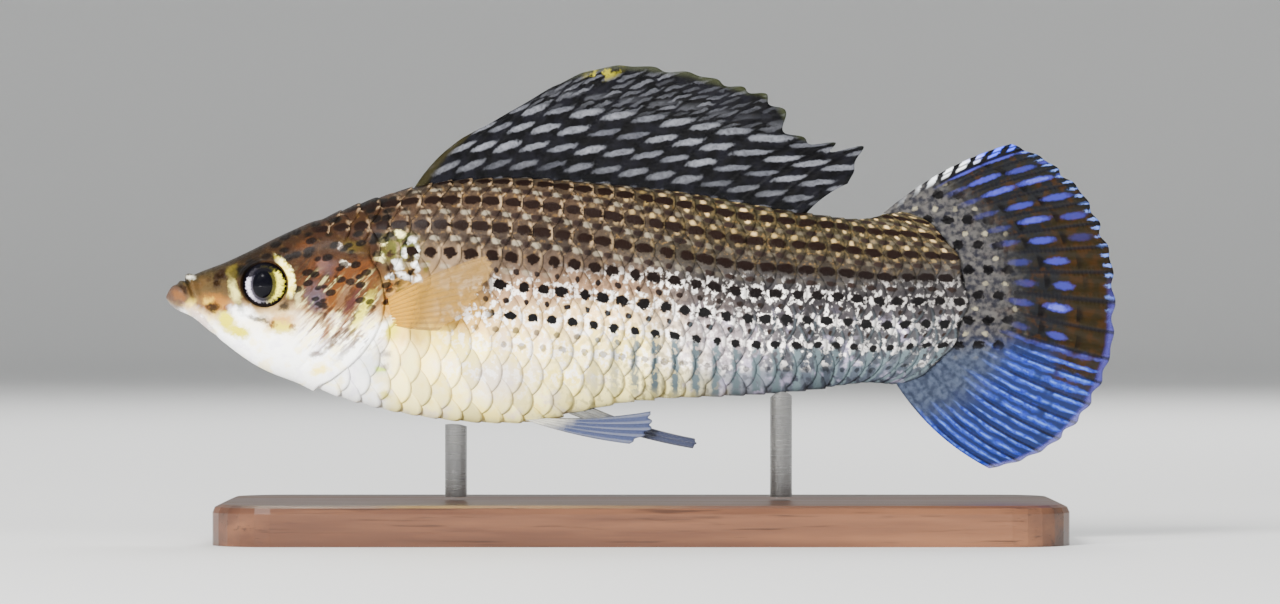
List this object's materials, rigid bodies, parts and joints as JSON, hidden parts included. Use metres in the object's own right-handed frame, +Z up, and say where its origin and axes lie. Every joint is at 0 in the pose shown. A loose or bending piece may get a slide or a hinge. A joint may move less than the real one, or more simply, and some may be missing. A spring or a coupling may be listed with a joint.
{
  "type": "sailfin molly model",
  "caption": "Life-size display model of a male sailfin molly with a raised sail fin and fanned tail, held over a flat base by short rods.",
  "frame": {"origin": "middle of the underside of the display base, which the model rests on", "axes": "+X from the snout towards the tail, +Y towards the fish's right flank, +Z up"},
  "size_m": [0.095, 0.036, 0.0476],
  "materials": {
    "flesh": "painted, with a pearly satin coat over fine scales",
    "eye": "clear gloss over a silver and yellow iris",
    "sail_fin": "satin, dark with rows of pale dashes",
    "tail_fin": "satin, blue streaks and an orange-brown band",
    "clear_fin": "translucent, thin",
    "stand_base": "dark stained, satin",
    "stand_rod": "brushed"
  },
  "bodies": {
    "root": {"head": "flesh", "lower_jaw": "flesh", "gill_cover_left": "flesh", "gill_cover_right": "flesh", "trunk": "flesh", "tail_stalk": "flesh", "eye_left": "eye", "eye_right": "eye", "dorsal_fin": "sail_fin", "tail_fin": "tail_fin", "pectoral_fin_left": "clear_fin", "pectoral_fin_right": "clear_fin", "pelvic_fin_left": "clear_fin", "pelvic_fin_right": "clear_fin", "gonopodium": "clear_fin", "stand_base": "stand_base", "stand_rod_front": "stand_rod", "stand_rod_rear": "stand_rod"}
  },
  "joints": []
}
